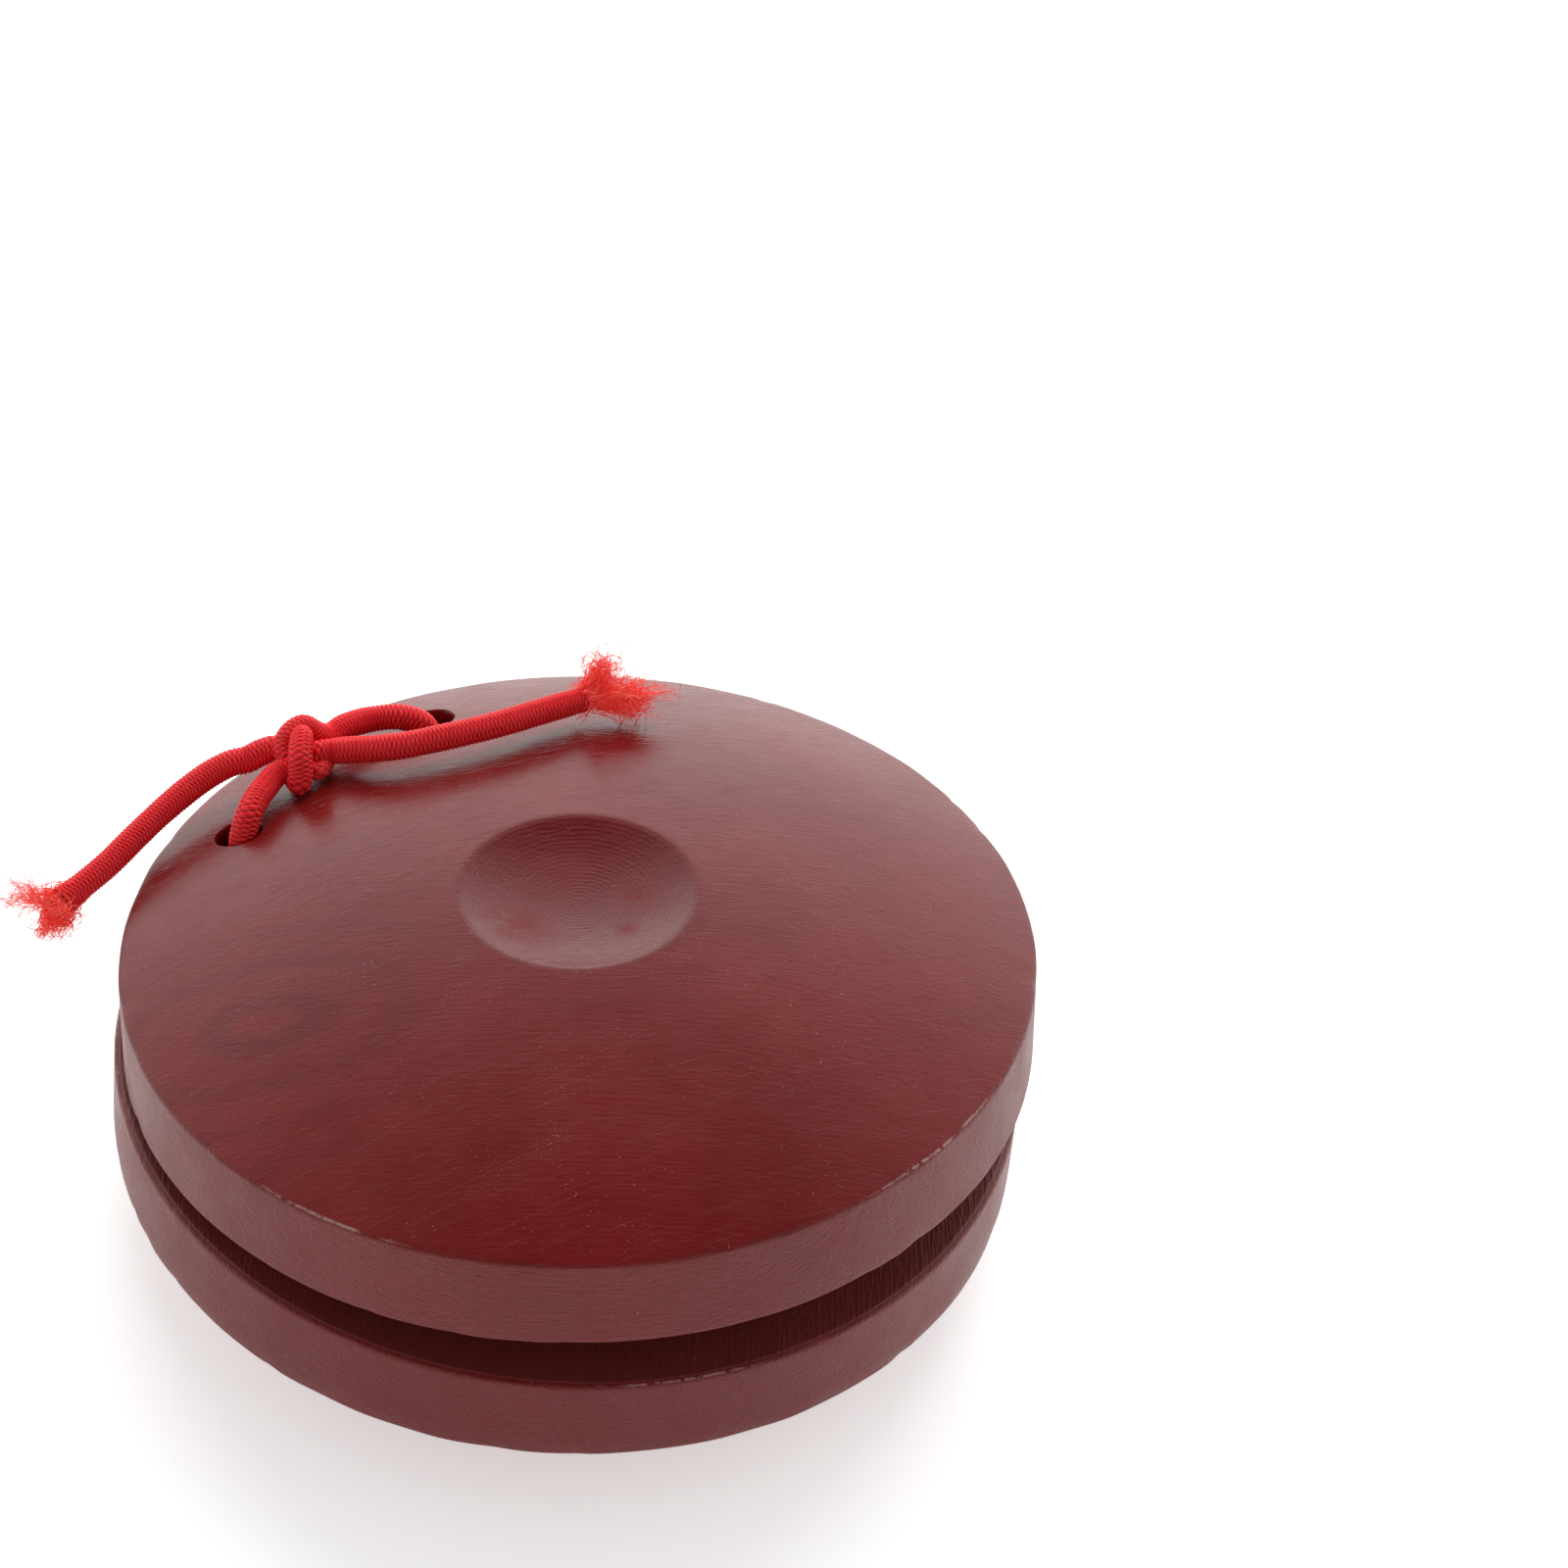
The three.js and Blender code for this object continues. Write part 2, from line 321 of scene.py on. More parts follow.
def cord_material():
    """Woven red sheath: bright yarn tops, with painted shade darkening the gaps between the yarns; paler
    where the knot stretches it.
    """
    n = Nodes("elastic_cord")
    height = n.attribute("weave")
    spread = n.attribute("stretch")
    # Painted shade: the colour runs from dark in the gaps of the braid up to bright on the yarn crowns.
    colour = n.mix(n.ramp(height, 0.1, 0.8), (0.16, 0.002, 0.003), (0.88, 0.019, 0.026))
    colour = n.mix(n.ramp(n.noise(1500, 3, 0.7), 0.35, 0.75, 0.0, 0.3), colour, (0.9, 0.05, 0.06))
    colour = n.mix(n.math("MULTIPLY", spread, 0.25), colour, (0.7, 0.07, 0.065))
    n.link(colour, n.shader.inputs["Base Color"])
    n.link(n.bump(n.noise(9000, 2), 0.00002), n.shader.inputs["Normal"])
    n.shader.inputs["Roughness"].default_value = 0.5
    n.shader.inputs["Specular IOR Level"].default_value = 0.25
    return n.material


def fibre_material():
    """Loose crinkled sheath fibres, painted a little lighter than the cord and given a faint painted glow,
    standing in for the light that comes through them.
    """
    n = Nodes("loose_fibre")
    colour = n.mix(n.ramp(n.noise(700, 2), 0.3, 0.7), (1.0, 0.07, 0.055), (1.0, 0.17, 0.13))
    n.link(colour, n.shader.inputs["Base Color"])
    n.shader.inputs["Roughness"].default_value = 0.5
    # Painted glow: a faint red emission stands in for the light that passes through the thin fibres.
    n.shader.inputs["Emission Color"].default_value = (1.0, 0.05, 0.04, 1)
    n.shader.inputs["Emission Strength"].default_value = 0.1
    return n.material


# ---- Mesh helpers ----

def mesh_object(name, vertices, faces, material=None):
    """vertices in millimetres."""
    mesh = bpy.data.meshes.new(name)
    mesh.from_pydata((np.asarray(vertices) * MM).tolist(), [], faces)
    mesh.update()
    if material:
        mesh.materials.append(material)
    obj = bpy.data.objects.new(name, mesh)
    scene.collection.objects.link(obj)
    return obj


def set_attribute(mesh, name, values):
    attribute = mesh.attributes.new(name, "FLOAT", "POINT")
    attribute.data.foreach_set("value", np.asarray(values, np.float32))


def points_of(mesh):
    flat = np.empty(len(mesh.vertices) * 3, np.float32)
    mesh.vertices.foreach_get("co", flat)
    return flat.reshape(-1, 3).astype(float) / MM


def ripple(points, wavelength, seed, waves=18):
    """Smooth irregular height over points, about -1 to 1."""
    rng = np.random.default_rng(seed)
    ways = rng.normal(size=(waves, 3))
    ways /= np.linalg.norm(ways, axis=1)[:, None]
    ways *= 2 * np.pi / (wavelength * rng.uniform(0.7, 1.4, size=(waves, 1)))
    phases = rng.uniform(0, 2 * np.pi, size=waves)
    return np.cos(points @ ways.T + phases).sum(axis=1) / math.sqrt(waves)


def smooth_step(value, low, high):
    t = np.clip((value - low) / (high - low), 0, 1)
    return t * t * (3 - 2 * t)


# ---- Shells ----

def sphere_rise(outer, inner, height):
    below = (outer ** 2 - inner ** 2 - height ** 2) / (2 * height)
    radius = math.hypot(outer, below)
    return lambda r: np.sqrt(radius ** 2 - r ** 2) - below


EDGE_TURN = math.radians(70)
DOME_FOOT = (RADIUS - EDGE + EDGE * math.cos(EDGE_TURN), BAND - EDGE + EDGE * math.sin(EDGE_TURN))
DOME = sphere_rise(DOME_FOOT[0], DIMPLE_RADIUS + 0.8, RIM_HEIGHT - DOME_FOOT[1])
DISH = sphere_rise(DIMPLE_RADIUS, 0, DIMPLE_DEPTH)


def outer_height(r):
    """Height of the dome and of the finger dimple in it, with a softly rounded lip between them."""
    dome = DOME_FOOT[1] + DOME(r)
    inside = np.minimum(r, DIMPLE_RADIUS + 3)
    tool_marks = 0.0015 * np.sin(2 * np.pi * inside / 0.55) * smooth_step(8 - inside, 0.6, 1.6)
    dish = RIM_HEIGHT - DISH(inside) + tool_marks
    soft = 0.16
    blend = np.clip(0.5 + 0.5 * (dome - dish) / soft, 0, 1)
    return dome + (dish - dome) * blend - soft * blend * (1 - blend)


def shell_profile():
    """Half section, from the hollow's deepest point round the outside to the dimple's deepest point."""
    turn = np.linspace(0, np.pi / 2, 28)
    parts = [np.stack([HOLLOW_RADIUS * np.sin(turn), 0.3 + (HOLLOW_DEPTH - 0.3) * np.cos(turn)], 1)]

    def arc(r, z, radius, start, end, steps):
        angle = np.radians(np.linspace(start, end, steps))
        parts.append(np.stack([r + radius * np.cos(angle), z + radius * np.sin(angle)], 1))

    arc(HOLLOW_RADIUS + 0.3, 0.3, 0.3, 200, 270, 5)
    flat = np.linspace(HOLLOW_RADIUS + 0.8, RADIUS - EDGE - 0.3, 14)
    parts.append(np.stack([flat, 0 * flat], 1))
    arc(RADIUS - EDGE, EDGE, EDGE, -90, 0, 8)
    wall = np.linspace(EDGE, BAND - EDGE, 18)[1:-1]
    parts.append(np.stack([0 * wall + RADIUS, wall], 1))
    arc(RADIUS - EDGE, BAND - EDGE, EDGE, 0, 70, 8)
    reach = np.concatenate([
        np.linspace(DOME_FOOT[0], 8.8, 50)[1:], np.linspace(8.7, 7.0, 14), np.linspace(6.85, 0, 44),
    ])
    parts.append(np.stack([reach, outer_height(reach)], 1))
    return np.concatenate(parts)


def revolve(profile, segments):
    angle = 2 * np.pi * np.arange(segments) / segments
    ring = profile[1:-1]
    around = np.stack([
        ring[:, None, 0] * np.cos(angle), ring[:, None, 0] * np.sin(angle), ring[:, None, 1] + 0 * angle,
    ], 2).reshape(-1, 3)
    ends = [[0, 0, profile[0, 1]], [0, 0, profile[-1, 1]]]
    vertices = np.concatenate([around, ends])
    first, last = len(around), len(around) + 1
    faces = []
    for i in range(len(ring) - 1):
        for j in range(segments):
            k = (j + 1) % segments
            faces.append((i * segments + j, i * segments + k, (i + 1) * segments + k, (i + 1) * segments + j))
    final = (len(ring) - 1) * segments
    for j in range(segments):
        k = (j + 1) % segments
        faces.append((first, k, j))
        faces.append((last, final + j, final + k))
    return vertices, faces


def rim_slope(y):
    return np.maximum(y - RIDGE, 0) * math.tan(BEVEL)


def hole_cutter():
    """Both cord holes, with mouths that follow the faces and are a little worn."""
    sides = 44
    angle = 2 * np.pi * np.arange(sides) / sides
    worn = 0.035 * np.sin(3 * angle + 0.7) + 0.02 * np.sin(7 * angle)
    vertices, faces = [], []
    for x in (-HOLE_X, HOLE_X):
        rows = []
        for level, offset, flare in (
            (0, -1.0, 0.2), (0, 0.0, 0.14), (0, 0.12, 0.04), (0, 0.35, 0), (1, -0.5, 0), (1, -0.16, 0.03),
            (1, 0.0, 0.13), (1, 1.2, 0.5),
        ):
            radius = HOLE_RADIUS + flare + worn * (flare > 0)
            px, py = x + radius * np.cos(angle), HOLE_Y + radius * np.sin(angle)
            pz = (outer_height(np.hypot(px, py)) if level else rim_slope(py)) + offset
            rows.append(np.stack([px, py, pz], 1))
        start = sides * len(vertices)
        vertices.extend(rows)
        for i in range(len(rows) - 1):
            for j in range(sides):
                k = (j + 1) % sides
                a, b = start + i * sides, start + (i + 1) * sides
                faces.append((a + j, a + k, b + k, b + j))
        faces.append(tuple(start + j for j in reversed(range(sides))))
        faces.append(tuple(start + (len(rows) - 1) * sides + j for j in range(sides)))
    return np.concatenate(vertices), faces


def blank_shell():
    """The turned shell with its sloping rim and its two holes, before wear."""
    vertices, faces = revolve(shell_profile(), 400)
    fade = np.clip(1 - vertices[:, 2] / 3, 0, 1) * (np.hypot(vertices[:, 0], vertices[:, 1]) > HOLLOW_RADIUS)
    vertices[:, 2] += rim_slope(vertices[:, 1]) * fade
    blank = mesh_object("blank", vertices, faces)
    cutter = mesh_object("cutter", *hole_cutter())
    cut = blank.modifiers.new("holes", "BOOLEAN")
    cut.operation = "DIFFERENCE"
    cut.solver = "EXACT"
    cut.object = cutter
    mesh = bpy.data.meshes.new_from_object(blank.evaluated_get(bpy.context.evaluated_depsgraph_get()))
    bpy.data.objects.remove(blank)
    bpy.data.objects.remove(cutter)
    return mesh


def wear_shell(mesh, seed, worn, soft):
    """Hand-sanded unevenness all over, and small flats and chips along the edges.
    Marks the zones for the finish. worn lists the stretches of edge that are painted pale, partly as worn
    lacquer and partly as a painted highlight, as bearing and width in degrees. soft is how much wood is
    sanded off the edge by the dome, in millimetres."""
    points = points_of(mesh)
    reach = np.hypot(points[:, 0], points[:, 1])
    top_edge = np.hypot(reach - (RADIUS - 0.12), points[:, 2] - (BAND - 0.14))
    low_edge = np.hypot(reach - (RADIUS - 0.12), points[:, 2] - 0.12 - rim_slope(points[:, 1]))
    near = np.minimum(top_edge, low_edge * 1.2)
    edge = np.exp(-(near / 0.3) ** 2)
    outward = points * [1, 1, 0] / np.maximum(reach, 1)[:, None]
    rng = np.random.default_rng(seed)
    chips = np.zeros(len(points))
    for _ in range(26):
        angle = rng.uniform(0, 2 * np.pi)
        z = BAND - 0.15 if rng.random() < 0.6 else 0.2
        spot = np.array([RADIUS * math.cos(angle), RADIUS * math.sin(angle), z])
        size = rng.uniform(0.35, 0.8)
        chips += rng.uniform(0.03, 0.1) * np.exp(-(((points - spot) / size) ** 2).sum(axis=1))
    flats = 0.03 * edge * ripple(points, 5, seed + 1) + chips
    uneven = 0.02 * ripple(points, 16, seed + 2) + 0.005 * ripple(points, 3.2, seed + 3)
    away = outward * 0.6 + np.array([0, 0, 0.8]) * np.sign(points[:, 2:3] - 3)
    keep = (reach > 9)[:, None]
    sanded = soft * np.exp(-(top_edge / 0.9) ** 2)
    moved = points - outward * (flats + sanded)[:, None] + away * (uneven[:, None] * keep)
    moved[:, 2] -= sanded * 0.8
    mesh.vertices.foreach_set("co", (moved * MM).astype(np.float32).ravel())
    side = smooth_step(reach, RADIUS - 0.25, RADIUS - 0.02) * (points[:, 2] < BAND - 0.05)
    inner = (points[:, 2] < outer_height(np.minimum(reach, DOME_FOOT[0])) - 1.0) * (reach < RADIUS - 0.3)
    set_attribute(mesh, "side", np.maximum(side, inner * 0.5))
    set_attribute(mesh, "inner", inner)
    # Pale edge lines, kept to the listed stretches: partly worn lacquer, partly a painted highlight.
    bearing = np.degrees(np.arctan2(points[:, 1], points[:, 0]))
    zones = 0.12 + sum(
        np.exp(-(((bearing - middle + 180) % 360 - 180) / width) ** 2) for middle, width in worn
    )
    set_attribute(mesh, "edge", np.exp(-(near / 0.15) ** 2) * np.minimum(zones, 1))
    figure = np.hypot((points[:, 0] + 21) / 9, (points[:, 1] - 7) / 9)
    set_attribute(mesh, "figure", np.exp(-figure ** 2))
    dish = smooth_step(-reach, -8.6, -7.4) * (points[:, 2] > 9)
    set_attribute(mesh, "dish", dish)
    rubbed = sum(
        np.exp(-((points[:, 0] - x) ** 2 + (points[:, 1] - y) ** 2) / size ** 2)
        for x, y, size in ((-4.4, 1.2, 2.5), (3.5, -2.2, 1.5), (0.4, -4.1, 0.8), (1.0, 3.0, 1.8))
    )
    set_attribute(mesh, "rubbed", dish * np.minimum(rubbed, 1))


def add_shell(name, blank, seed, worn, soft, place, material, node, body):
    mesh = blank.copy()
    wear_shell(mesh, seed, worn, soft)
    mesh.materials.clear()
    mesh.materials.append(material)
    mesh.shade_smooth()
    mesh.set_sharp_from_angle(angle=math.radians(40))
    shell = bpy.data.objects.new(name, mesh)
    scene.collection.objects.link(shell)
    shell.matrix_world = place
    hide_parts(node)
    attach(shell, body)


def add_shells():
    blank = blank_shell()
    wood = wood_material()
    lower = Matrix.Translation((0, 0, RIM_HEIGHT * MM)) @ Matrix.Rotation(math.pi, 4, "Y")
    upper = (
        Matrix.Translation(Vector(UPPER_RIDGE) * MM) @ Matrix.Rotation(-2 * BEVEL, 4, "X")
        @ Matrix.Translation((0, -RIDGE * MM, 0))
    )
    # Stretches of edge painted pale: partly worn lacquer, partly a painted highlight along the edge.
    lower_wear_and_highlight = ((-60, 14), (40, 20))
    upper_wear_and_highlight = ((-166, 12), (-84, 14), (50, 20))
    add_shell("shell_lower", blank, 11, lower_wear_and_highlight, 0.12, lower, wood, "lower_shell", "lower")
    add_shell("shell_upper", blank, 47, upper_wear_and_highlight, 0, upper, wood, "upper_shell", "upper")


# ---- Cord ----
# Routes in metres, point by point. The fourth number is the cord's radius there in millimetres.

LOOP = [
    (-0.00876, 0.0228, 0.0132, 0.875), (-0.00876, 0.02285, 0.0122, 0.875), (-0.00876, 0.0229, 0.0112, 0.875),
    (-0.00876, 0.02295, 0.0109, 0.875), (-0.00876, 0.0231, 0.0085, 0.875), (-0.00875, 0.0233, 0.006, 0.875),
    (-0.0087, 0.0233, 0.0042, 0.875), (-0.0084, 0.0233, 0.0029, 0.85), (-0.0075, 0.0233, 0.00215, 0.83),
    (-0.006, 0.0233, 0.002, 0.85), (-0.003, 0.0233, 0.00185, 0.86), (0.0, 0.0233, 0.0018, 0.86),
    (0.003, 0.0233, 0.00185, 0.86), (0.006, 0.0233, 0.002, 0.85), (0.0075, 0.0233, 0.00215, 0.83),
    (0.0084, 0.0233, 0.0029, 0.85), (0.0087, 0.0233, 0.0042, 0.875), (0.00875, 0.0233, 0.006, 0.875),
    (0.00876, 0.0231, 0.0085, 0.875), (0.00876, 0.02295, 0.0109, 0.875), (0.00876, 0.0229, 0.0112, 0.875),
    (0.00876, 0.02285, 0.0122, 0.875), (0.00876, 0.0228, 0.0132, 0.875),
]
LEFT = [
    (-0.00876, 0.02275, 0.0135, 0.875), (-0.00876, 0.02285, 0.016, 0.875), (-0.0087, 0.02295, 0.019, 0.875),
    (-0.0085, 0.023, 0.0209, 0.875), (-0.0078, 0.02325, 0.02205, 0.86), (-0.0066, 0.02385, 0.02225, 0.84),
    (-0.0054, 0.02435, 0.02215, 0.82), (-0.0039, 0.0248, 0.0222, 0.8), (-0.00303, 0.02456, 0.02238, 0.76),
    (-0.00219, 0.02394, 0.0222, 0.7), (-0.0018, 0.02305, 0.02242, 0.6), (-0.00105, 0.0233, 0.02235, 0.58),
    (-0.00004, 0.02443, 0.02182, 0.7), (0.00043, 0.02584, 0.02171, 0.7), (0.00021, 0.02657, 0.02226, 0.66),
    (-0.00049, 0.02641, 0.02297, 0.62), (-0.00105, 0.0257, 0.02343, 0.62), (-0.00176, 0.02486, 0.02406, 0.74),
    (-0.00284, 0.02382, 0.02388, 0.8), (-0.00328, 0.02325, 0.02298, 0.8), (-0.0035, 0.02308, 0.0223, 0.74),
    (-0.00324, 0.02375, 0.02193, 0.7), (-0.00254, 0.02462, 0.02174, 0.7), (-0.00204, 0.02551, 0.02191, 0.7),
    (-0.00218, 0.02614, 0.02234, 0.74), (-0.00267, 0.02652, 0.02258, 0.8), (-0.00353, 0.02693, 0.02236, 0.86),
    (-0.00442, 0.0273, 0.02201, 0.875), (-0.0054, 0.02775, 0.02195, 0.875), (-0.0068, 0.02815, 0.0216, 0.875),
    (-0.0085, 0.0283, 0.0212, 0.875), (-0.011, 0.0282, 0.0207, 0.86), (-0.01365, 0.02795, 0.0201, 0.85),
    (-0.0164, 0.0276, 0.0195, 0.86), (-0.0187, 0.0275, 0.01905, 0.87), (-0.0204, 0.0275, 0.01865, 1.0),
]
RIGHT = [
    (0.00876, 0.02275, 0.0135, 0.875), (0.00876, 0.02285, 0.016, 0.875), (0.0085, 0.02295, 0.019, 0.875),
    (0.0079, 0.0229, 0.0206, 0.86), (0.0073, 0.02293, 0.0215, 0.85), (0.00635, 0.02375, 0.022, 0.85),
    (0.00473, 0.025, 0.02188, 0.84), (0.0026, 0.0254, 0.02215, 0.82), (0.0011, 0.0253, 0.0223, 0.78),
    (0.00027, 0.02558, 0.02293, 0.72), (-0.00045, 0.026, 0.02376, 0.64), (-0.00116, 0.02611, 0.02391, 0.62),
    (-0.00186, 0.02609, 0.02376, 0.62), (-0.00238, 0.02598, 0.02343, 0.62), (-0.00272, 0.0257, 0.0231, 0.64),
    (-0.00284, 0.02536, 0.02272, 0.66), (-0.00273, 0.02515, 0.02216, 0.62), (-0.00223, 0.0248, 0.02172, 0.66),
    (-0.00162, 0.02444, 0.02227, 0.72), (-0.0011, 0.02407, 0.02286, 0.78), (-0.00014, 0.02338, 0.02295, 0.84),
    (0.0004, 0.02225, 0.02355, 0.86), (0.0013, 0.0208, 0.02415, 0.875), (0.00255, 0.0195, 0.0246, 0.875),
    (0.0053, 0.0179, 0.02495, 0.865), (0.00845, 0.0166, 0.02505, 0.85), (0.01205, 0.01575, 0.0248, 0.85),
    (0.0149, 0.01515, 0.0245, 0.82),
]


def smooth_route(route, step):
    """A smooth line through the points, sampled evenly: points and radii in millimetres, and distances."""
    rows = np.array(route)
    points, radii = rows[:, :3] / MM, rows[:, 3]
    padded = np.concatenate([[2 * points[0] - points[1]], points, [2 * points[-1] - points[-2]]])
    knots = np.concatenate([[0], np.cumsum(np.linalg.norm(np.diff(padded, axis=0), axis=1) ** 0.5)])
    line, size = [], []
    for i in range(1, len(padded) - 2):
        t0, t1, t2, t3 = knots[i - 1:i + 3]
        p0, p1, p2, p3 = padded[i - 1:i + 3]
        t = np.linspace(t1, t2, 60, endpoint=False)[:, None]
        a1 = (t1 - t) / (t1 - t0) * p0 + (t - t0) / (t1 - t0) * p1
        a2 = (t2 - t) / (t2 - t1) * p1 + (t - t1) / (t2 - t1) * p2
        a3 = (t3 - t) / (t3 - t2) * p2 + (t - t2) / (t3 - t2) * p3
        b1 = (t2 - t) / (t2 - t0) * a1 + (t - t0) / (t2 - t0) * a2
        b2 = (t3 - t) / (t3 - t1) * a2 + (t - t1) / (t3 - t1) * a3
        line.append((t2 - t) / (t2 - t1) * b1 + (t - t1) / (t2 - t1) * b2)
        share = ((t - t1) / (t2 - t1)).ravel()
        size.append(radii[i - 1] + (radii[i] - radii[i - 1]) * share)
    line = np.concatenate(line + [points[-1:]])
    size = np.concatenate(size + [radii[-1:]])
    along = np.concatenate([[0], np.cumsum(np.linalg.norm(np.diff(line, axis=0), axis=1))])
    count = max(2, int(round(along[-1] / step)) + 1)
    even = np.linspace(0, along[-1], count)
    centre = np.stack([np.interp(even, along, line[:, i]) for i in range(3)], 1)
    return centre, np.interp(even, along, size), even


def frames_along(centre):
    """Two directions across the line at each point, carried along it without twisting."""
    heading = np.gradient(centre, axis=0)
    heading /= np.linalg.norm(heading, axis=1)[:, None]
    across = np.cross(heading[0], [0.3, 0.2, 1.0])
    across /= np.linalg.norm(across)
    first = []
    for tangent in heading:
        across = across - tangent * (across @ tangent)
        across /= np.linalg.norm(across)
        first.append(across)
    first = np.array(first)
    return first, np.cross(heading, first)


def braid(along, angle):
    """Height of a plain braid of ten yarns over the cord's surface, 0 in the gaps to 1 on a yarn's crown."""
    u = along[:, None] / BRAID_PITCH
    v = angle[None, :] * BRAID_PAIRS / (2 * np.pi)
    a, b = u + v, u - v
    on_top = (np.floor(a) + np.floor(b)) % 2 < 1
    fa, fb = 2 * (a % 1) - 1, 2 * (b % 1) - 1
    width = np.where(on_top, fa, fb)
    length = np.where(on_top, fb, fa)
    return np.maximum(1 - width ** 2, 0) ** 0.7 * (1 - 0.55 * length ** 4)


def cord_mesh(route, step, sides, depth):
    centre, size, along = smooth_route(route, step)
    first, second = frames_along(centre)
    angle = 2 * np.pi * np.arange(sides) / sides
    height = braid(along, angle)
    tight = np.clip(size / CORD_RADIUS, 0, 1)
    lift = depth * (height - 0.6) * tight[:, None]
    lift += 0.012 * ripple(centre, 2.5, 5)[:, None]
    radius = size[:, None] + lift
    ring = (
        centre[:, None, :] + (radius * np.cos(angle))[:, :, None] * first[:, None, :]
        + (radius * np.sin(angle))[:, :, None] * second[:, None, :]
    )
    vertices = ring.reshape(-1, 3)
    faces = []
    for i in range(len(centre) - 1):
        for j in range(sides):
            k = (j + 1) % sides
            faces.append((i * sides + j, i * sides + k, (i + 1) * sides + k, (i + 1) * sides + j))
    faces.append(tuple(reversed(range(sides))))
    faces.append(tuple((len(centre) - 1) * sides + j for j in range(sides)))
    stretch = np.repeat(np.clip((0.72 - size) / 0.16, 0, 1), sides)
    return vertices, faces, height.ravel(), stretch, centre, along[-1]


def add_cord_piece(name, route, step, sides, material):
    vertices, faces, height, stretch, centre, length = cord_mesh(route, step, sides, 0.17)
    cord = mesh_object(name, vertices, faces, material)
    set_attribute(cord.data, "weave", height)
    set_attribute(cord.data, "stretch", stretch)
    cord.data.shade_smooth()
    return cord, centre * MM, length * MM


def fibres(rng, count, root, centre, radius, reach, thick):
    """Tangled fibres that leave a cord's end at root and curl about inside a lobe. Millimetres."""
    steps, sides = 16, 3
    root, centre = np.array(root, float), np.array(centre, float)
    place = root + rng.normal(size=(count, 3)) * 0.42
    target = centre + rng.normal(size=(count, 3)) * radius * 0.55
    way = target - place
    way /= np.linalg.norm(way, axis=1)[:, None]
    stride = (reach * rng.uniform(0.5, 1.15, size=(count, 1))) / steps
    curl = rng.normal(size=(count, 3)) * 0.25
    line = [place]
    for _ in range(steps - 1):
        pull = (target - place) / radius * 0.2
        way = way + pull + curl + rng.normal(size=(count, 3)) * 0.27
        curl = curl * 0.6 + rng.normal(size=(count, 3)) * 0.2
        way /= np.linalg.norm(way, axis=1)[:, None]
        place = place + way * stride
        line.append(place)
    line = np.stack(line, 1)
    line[:, 1:-1] = (line[:, :-2] + 2 * line[:, 1:-1] + line[:, 2:]) / 4
    heading = np.gradient(line, axis=1)
    heading /= np.linalg.norm(heading, axis=2)[:, :, None]
    side_a = np.cross(heading, [0.21, 0.37, 0.9])
    side_a /= np.maximum(np.linalg.norm(side_a, axis=2), 1e-6)[:, :, None]
    side_b = np.cross(heading, side_a)
    taper = (thick * rng.uniform(0.7, 1.3, size=(count, 1)) * np.linspace(1, 0.5, steps))[:, :, None]
    rows = []
    for j in range(sides):
        angle = 2 * np.pi * j / sides
        rows.append(line + taper * (side_a * math.cos(angle) + side_b * math.sin(angle)))
    vertices = np.stack(rows, 2).reshape(-1, 3)
    faces = []
    for fibre in range(count):
        base = fibre * steps * sides
        for a in range(base, base + (steps - 1) * sides, sides):
            faces.extend([(a, a + 1, a + 4, a + 3), (a + 1, a + 2, a + 5, a + 4), (a + 2, a, a + 3, a + 5)])
        final = base + (steps - 1) * sides
        faces.extend([(base, base + 2, base + 1), (final, final + 1, final + 2)])
    return vertices, faces


def add_tuft(name, lobes, seed, material, node):
    rng = np.random.default_rng(seed)
    vertices, faces, start = [], [], 0
    for lobe in lobes:
        points, polygons = fibres(rng, *lobe)
        vertices.append(points)
        faces.extend(tuple(start + i for i in polygon) for polygon in polygons)
        start += len(points)
    tuft = mesh_object(name, np.concatenate(vertices), faces, material)
    tuft.data.shade_smooth()
    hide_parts(node)
    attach(tuft, "upper")
    return tuft


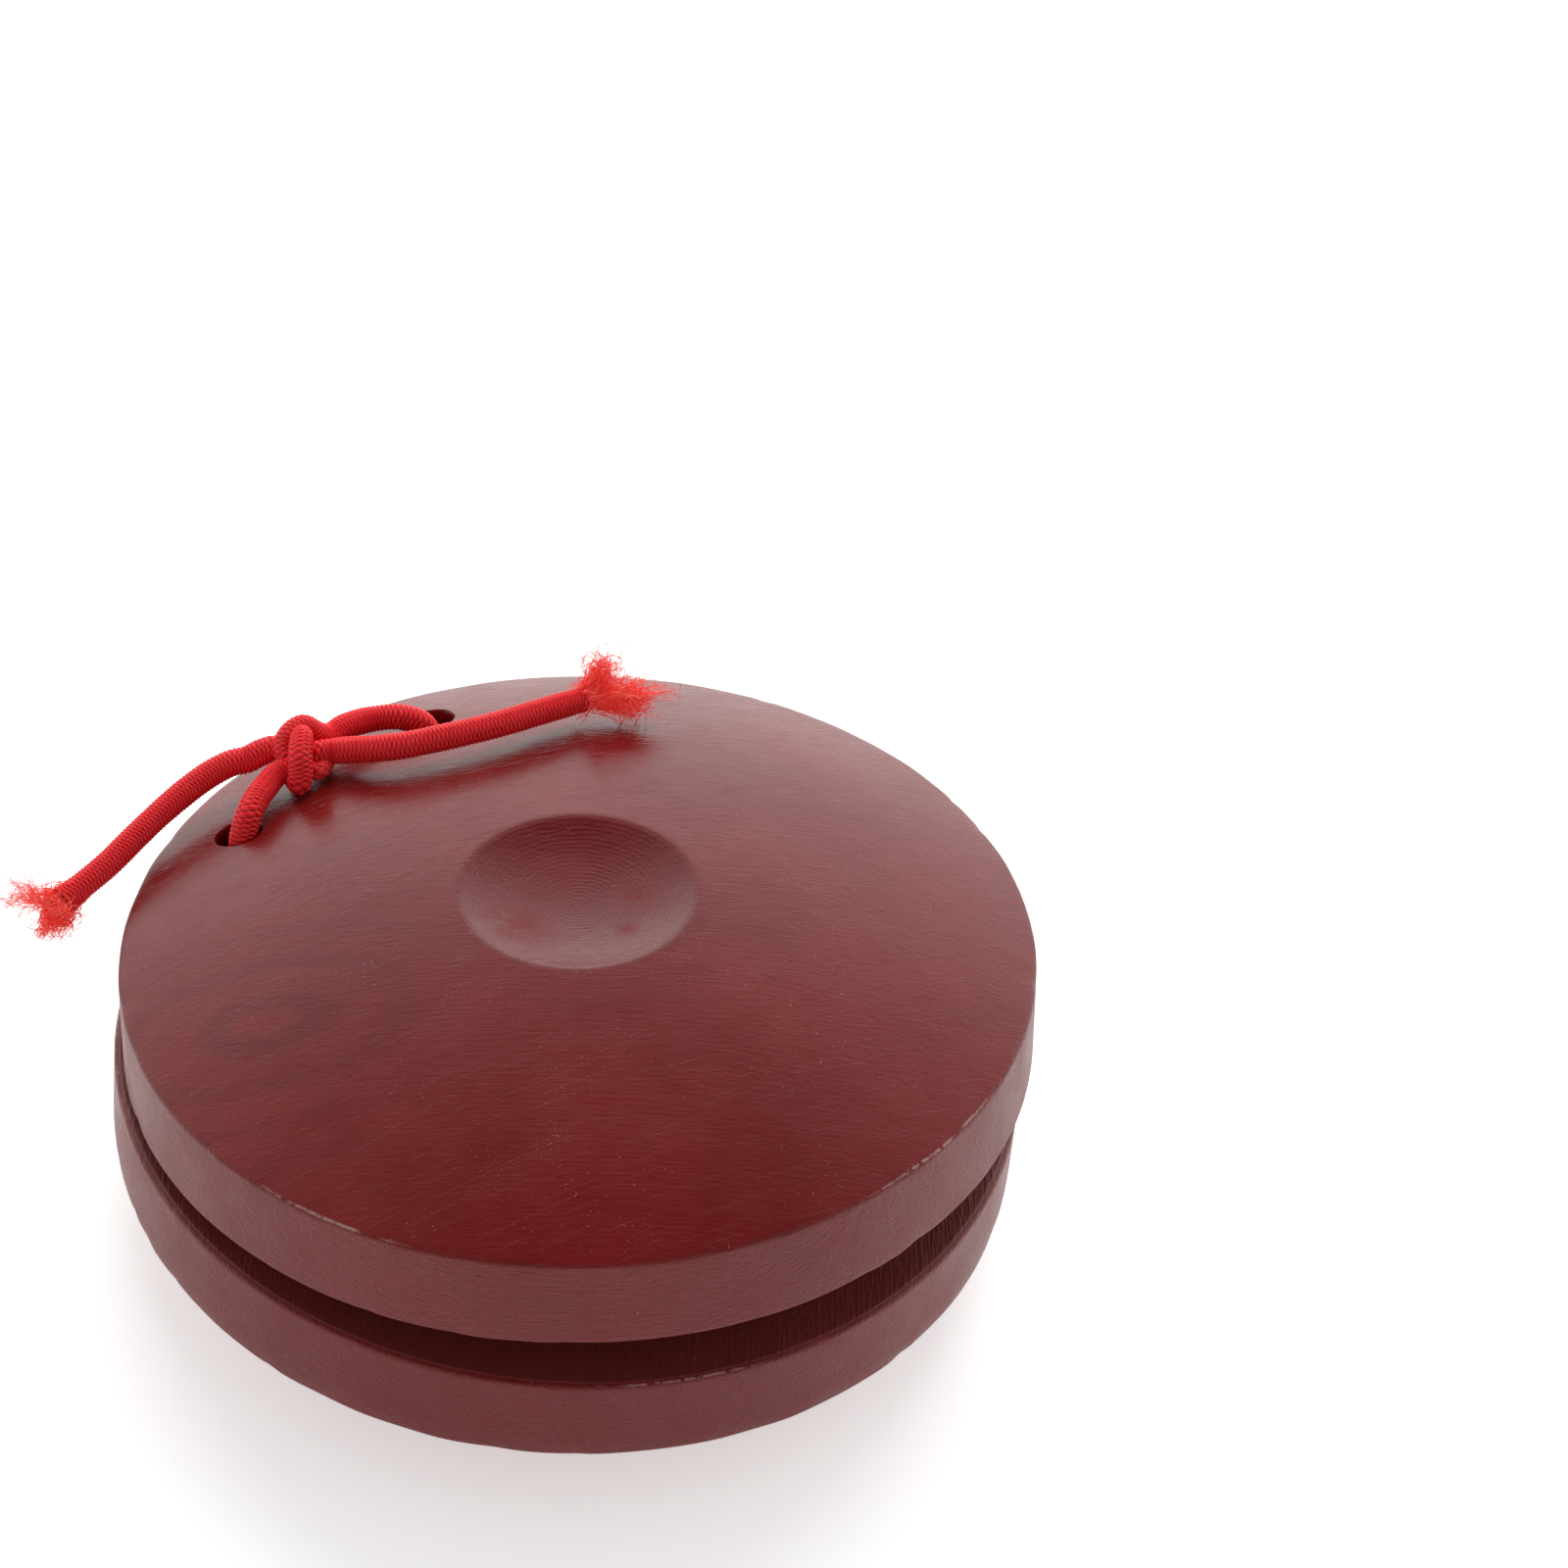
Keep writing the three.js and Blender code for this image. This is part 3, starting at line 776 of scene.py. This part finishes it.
# Each lobe of a tuft: fibre count, root, centre, radius, fibre length and thickness, in millimetres.
LEFT_TUFT = [
    (380, (-19.9, 27.5, 18.75), (-21.3, 27.7, 18.1), 1.1, 2.6, 0.042),
    (260, (-20.5, 27.4, 18.4), (-21.7, 26.9, 17.7), 0.9, 2.4, 0.042),
    (90, (-20.8, 28.0, 18.5), (-22.2, 29.8, 18.8), 0.7, 4.6, 0.03),
    (90, (-21.2, 27.6, 18.1), (-22.3, 27.3, 17.2), 0.4, 2.6, 0.034),
    (24, (-20.8, 27.2, 18.0), (-21.2, 26.2, 17.6), 0.3, 2.6, 0.03),
]
RIGHT_TUFT = [
    (230, (14.6, 15.2, 24.5), (16.4, 14.6, 24.8), 0.7, 2.4, 0.042),
    (230, (15.4, 15.2, 24.8), (17.2, 15.3, 26.0), 0.7, 4.0, 0.036),
    (330, (15.8, 14.6, 24.5), (17.7, 12.7, 24.7), 0.8, 4.4, 0.038),
    (60, (15.9, 14.2, 24.2), (16.9, 12.3, 24.1), 0.5, 3.6, 0.032),
    (40, (17.0, 13.4, 24.7), (19.2, 11.9, 25.0), 0.4, 4.6, 0.03),
]


def add_cords():
    sheath = cord_material()
    loose = fibre_material()
    loop, _, _ = add_cord_piece("elastic_loop", LOOP, 0.08, 36, sheath)
    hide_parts("cord_lower_loop", "cord_middle_left", "cord_middle_right")
    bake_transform(loop)
    left_tuft = add_tuft("tuft_left", LEFT_TUFT, 3, loose, "cord_fray_left")
    right_tuft = add_tuft("tuft_right", RIGHT_TUFT, 4, loose, "cord_fray_right")
    for name, route, x, tuft, nodes in (
        ("elastic_left", LEFT, -0.00876, left_tuft, ("cord_upper_left", "cord_tail_left", "cord_knot")),
        ("elastic_right", RIGHT, 0.00876, right_tuft, ("cord_upper_right", "cord_tail_right")),
    ):
        piece, centre, length = add_cord_piece(name, route, 0.04, 48, sheath)
        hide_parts(*nodes)
        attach(piece, "upper")
        print(name, "length", round(length, 5))


add_camera()
add_world()
add_lights()
add_floor()
add_cords()
add_shells()
scene.view_settings.view_transform = "Standard"
